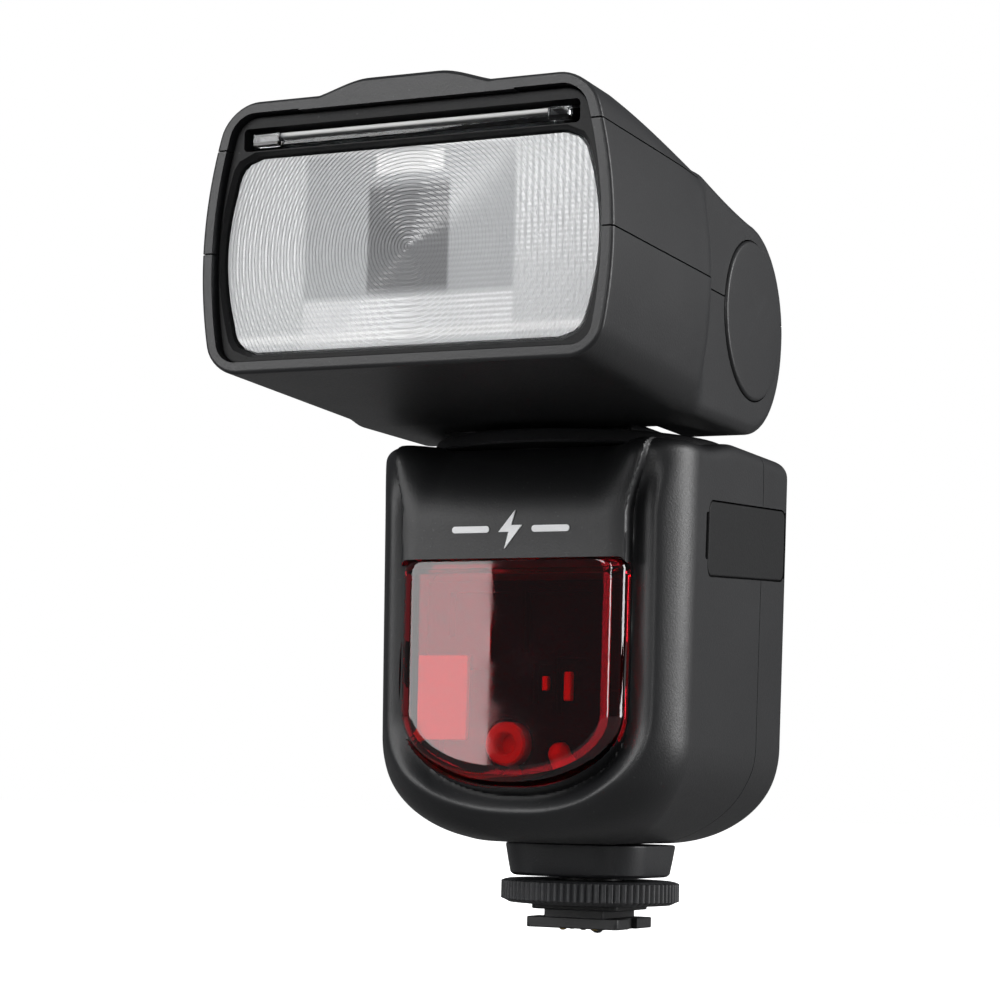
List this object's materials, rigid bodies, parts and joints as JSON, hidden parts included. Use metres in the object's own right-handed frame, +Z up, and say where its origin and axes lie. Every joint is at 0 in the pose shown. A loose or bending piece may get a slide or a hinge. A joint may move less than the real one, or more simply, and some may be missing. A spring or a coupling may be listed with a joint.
{
  "type": "speedlight flash",
  "caption": "Hot-shoe flash with a tilting, swivelling zoom head, Fresnel lens, pull-out panels, red focus window, rear screen and keys.",
  "frame": {"origin": "middle of the underside of the hot-shoe foot", "axes": "+Z up along the lock ring's axis, the lens faces -Y, +X to the right seen from the front"},
  "size_m": [0.076, 0.1135, 0.1447],
  "materials": {
    "black_plastic": "fine grained matte black moulding",
    "dark_plastic": "darker matte black moulding",
    "key_rubber": "soft dark grey rubber",
    "clear_plastic": "clear moulded plastic",
    "red_clear": "deep red glossy transparent plastic",
    "screen_glass": "glossy dark window",
    "screen_panel": "grey green display panel",
    "white_plastic": "white card",
    "red_plastic": "bright red plastic",
    "steel": "plain steel",
    "chrome": "polished chrome",
    "brass": "gold plated contacts",
    "mirror": "polished reflector",
    "board": "green circuit board",
    "sleeve": "dark blue sleeve"
  },
  "bodies": {
    "base": {"front_shell": "black_plastic", "rear_shell": "black_plastic", "focus_window": "red_clear", "focus_holder": "dark_plastic", "focus_ring": "red_plastic", "focus_lamp": "red_plastic", "screen_window": "screen_glass", "screen_module": "screen_panel", "main_board": "board", "capacitor": "sleeve", "battery_pack": "dark_plastic", "battery_contacts": "brass", "sync_jack": "steel", "usb_port": "steel", "shoe_collar": "black_plastic", "shoe_foot": "dark_plastic", "contact_block": "dark_plastic", "contact_pins": "brass"},
    "neck": {"neck_turntable": "black_plastic", "retaining_ring": "steel", "neck_front_cover": "black_plastic", "neck_rear_cover": "black_plastic", "tilt_shaft": "steel", "detent_plate": "steel"},
    "head": {"head_lower_shell": "black_plastic", "head_upper_shell": "black_plastic", "head_top_cover": "black_plastic", "front_frame": "dark_plastic", "fresnel_lens": "clear_plastic", "tilt_cover_right": "black_plastic", "tilt_cover_left": "black_plastic", "head_screw_1": "steel", "head_screw_2": "steel", "head_screw_3": "steel", "head_screw_4": "steel", "zoom_motor": "steel", "guide_rod_1": "steel", "guide_rod_2": "steel"},
    "wide_panel": {"wide_panel": "clear_plastic"},
    "bounce_card": {"bounce_card": "white_plastic"},
    "carriage": {"zoom_carriage": "dark_plastic", "reflector": "mirror", "flash_tube": "clear_plastic"},
    "zoom_screw": {"lead_screw": "steel"},
    "clamp": {"clamp_plate": "dark_plastic"},
    "lock_ring": {"lock_ring": "black_plastic"},
    "locking_pin": {"locking_pin": "chrome"},
    "port_flap": {"port_flap": "key_rubber"},
    "battery_door": {"battery_door": "black_plastic"},
    "control_dial": {"control_dial": "dark_plastic"},
    "set_button": {"set_button": "key_rubber"},
    "power_switch": {"power_switch": "dark_plastic"},
    "soft_key_1": {"soft_key_1": "key_rubber"},
    "soft_key_2": {"soft_key_2": "key_rubber"},
    "soft_key_3": {"soft_key_3": "key_rubber"},
    "soft_key_4": {"soft_key_4": "key_rubber"},
    "mode_key": {"mode_key": "key_rubber"},
    "menu_key": {"menu_key": "key_rubber"},
    "sync_key": {"sync_key": "key_rubber"},
    "test_button": {"test_button": "key_rubber"}
  },
  "joints": [
    {"name": "head_swivel", "type": "hinge", "parent": "base", "child": "neck", "pos_m": [0, -0.008, 0.0885], "axis": [0, 0, 1], "range_deg": [-180, 150]},
    {"name": "head_tilt", "type": "hinge", "parent": "neck", "child": "head", "pos_m": [0, -0.0097, 0.113], "axis": [-1, 0, 0], "range_deg": [0, 90]},
    {"name": "wide_panel_slide", "type": "slide", "parent": "head", "child": "wide_panel", "axis": [0, -1, 0], "range_m": [0, 0.03]},
    {"name": "bounce_card_slide", "type": "slide", "parent": "head", "child": "bounce_card", "axis": [0, -1, 0], "range_m": [0, 0.03]},
    {"name": "zoom_slide", "type": "slide", "parent": "head", "child": "carriage", "axis": [0, 1, 0], "range_m": [0, 0.019]},
    {"name": "zoom_screw_turn", "type": "hinge", "parent": "head", "child": "zoom_screw", "pos_m": [-0.0195, -0.05, 0.0989], "axis": [0, 1, 0], "range_deg": [0, 1710]},
    {"name": "clamp_slide", "type": "slide", "parent": "base", "child": "clamp", "axis": [0, 0, 1], "range_m": [0, 0.0005]},
    {"name": "lock_ring_turn", "type": "hinge", "parent": "clamp", "child": "lock_ring", "pos_m": [0, 0, 0.0069], "axis": [0, 0, 1], "range_deg": [-180, 0]},
    {"name": "locking_pin_slide", "type": "slide", "parent": "base", "child": "locking_pin", "axis": [0, 0, 1], "range_m": [0, 0.0016]},
    {"name": "port_flap_hinge", "type": "hinge", "parent": "base", "child": "port_flap", "pos_m": [0.0304, 0.0209, 0.0722], "axis": [0, 0, 1], "range_deg": [0, 100]},
    {"name": "battery_door_hinge", "type": "hinge", "parent": "base", "child": "battery_door", "pos_m": [-0.0303, -0.0105, 0.0374], "axis": [0, -1, 0], "range_deg": [0, 95]},
    {"name": "dial_turn", "type": "hinge", "parent": "base", "child": "control_dial", "pos_m": [0, 0.0252, 0.041], "axis": [0, 1, 0], "continuous": true},
    {"name": "set_press", "type": "slide", "parent": "base", "child": "set_button", "axis": [0, -1, 0], "range_m": [0, 0.0006], "stiffness_N_per_m": 500},
    {"name": "power_switch_slide", "type": "slide", "parent": "base", "child": "power_switch", "axis": [1, 0, 0], "range_m": [0, 0.003]},
    {"name": "soft_key_1_press", "type": "slide", "parent": "base", "child": "soft_key_1", "axis": [0, -1, 0], "range_m": [0, 0.0005], "stiffness_N_per_m": 500},
    {"name": "soft_key_2_press", "type": "slide", "parent": "base", "child": "soft_key_2", "axis": [0, -1, 0], "range_m": [0, 0.0005], "stiffness_N_per_m": 500},
    {"name": "soft_key_3_press", "type": "slide", "parent": "base", "child": "soft_key_3", "axis": [0, -1, 0], "range_m": [0, 0.0005], "stiffness_N_per_m": 500},
    {"name": "soft_key_4_press", "type": "slide", "parent": "base", "child": "soft_key_4", "axis": [0, -1, 0], "range_m": [0, 0.0005], "stiffness_N_per_m": 500},
    {"name": "mode_key_press", "type": "slide", "parent": "base", "child": "mode_key", "axis": [0, -1, 0], "range_m": [0, 0.0005], "stiffness_N_per_m": 500},
    {"name": "menu_key_press", "type": "slide", "parent": "base", "child": "menu_key", "axis": [0, -1, 0], "range_m": [0, 0.0005], "stiffness_N_per_m": 500},
    {"name": "sync_key_press", "type": "slide", "parent": "base", "child": "sync_key", "axis": [0, -1, 0], "range_m": [0, 0.0005], "stiffness_N_per_m": 500},
    {"name": "test_button_press", "type": "slide", "parent": "base", "child": "test_button", "axis": [0, -1, 0], "range_m": [0, 0.0005], "stiffness_N_per_m": 500}
  ],
  "couplings": [
    {"joint": "zoom_screw_turn", "follows": "zoom_slide", "rad_per_m": 1570.8},
    {"joint": "clamp_slide", "follows": "lock_ring_turn", "m_per_rad": -0.00015915},
    {"joint": "locking_pin_slide", "follows": "lock_ring_turn", "m_per_rad": -0.00047746}
  ]
}
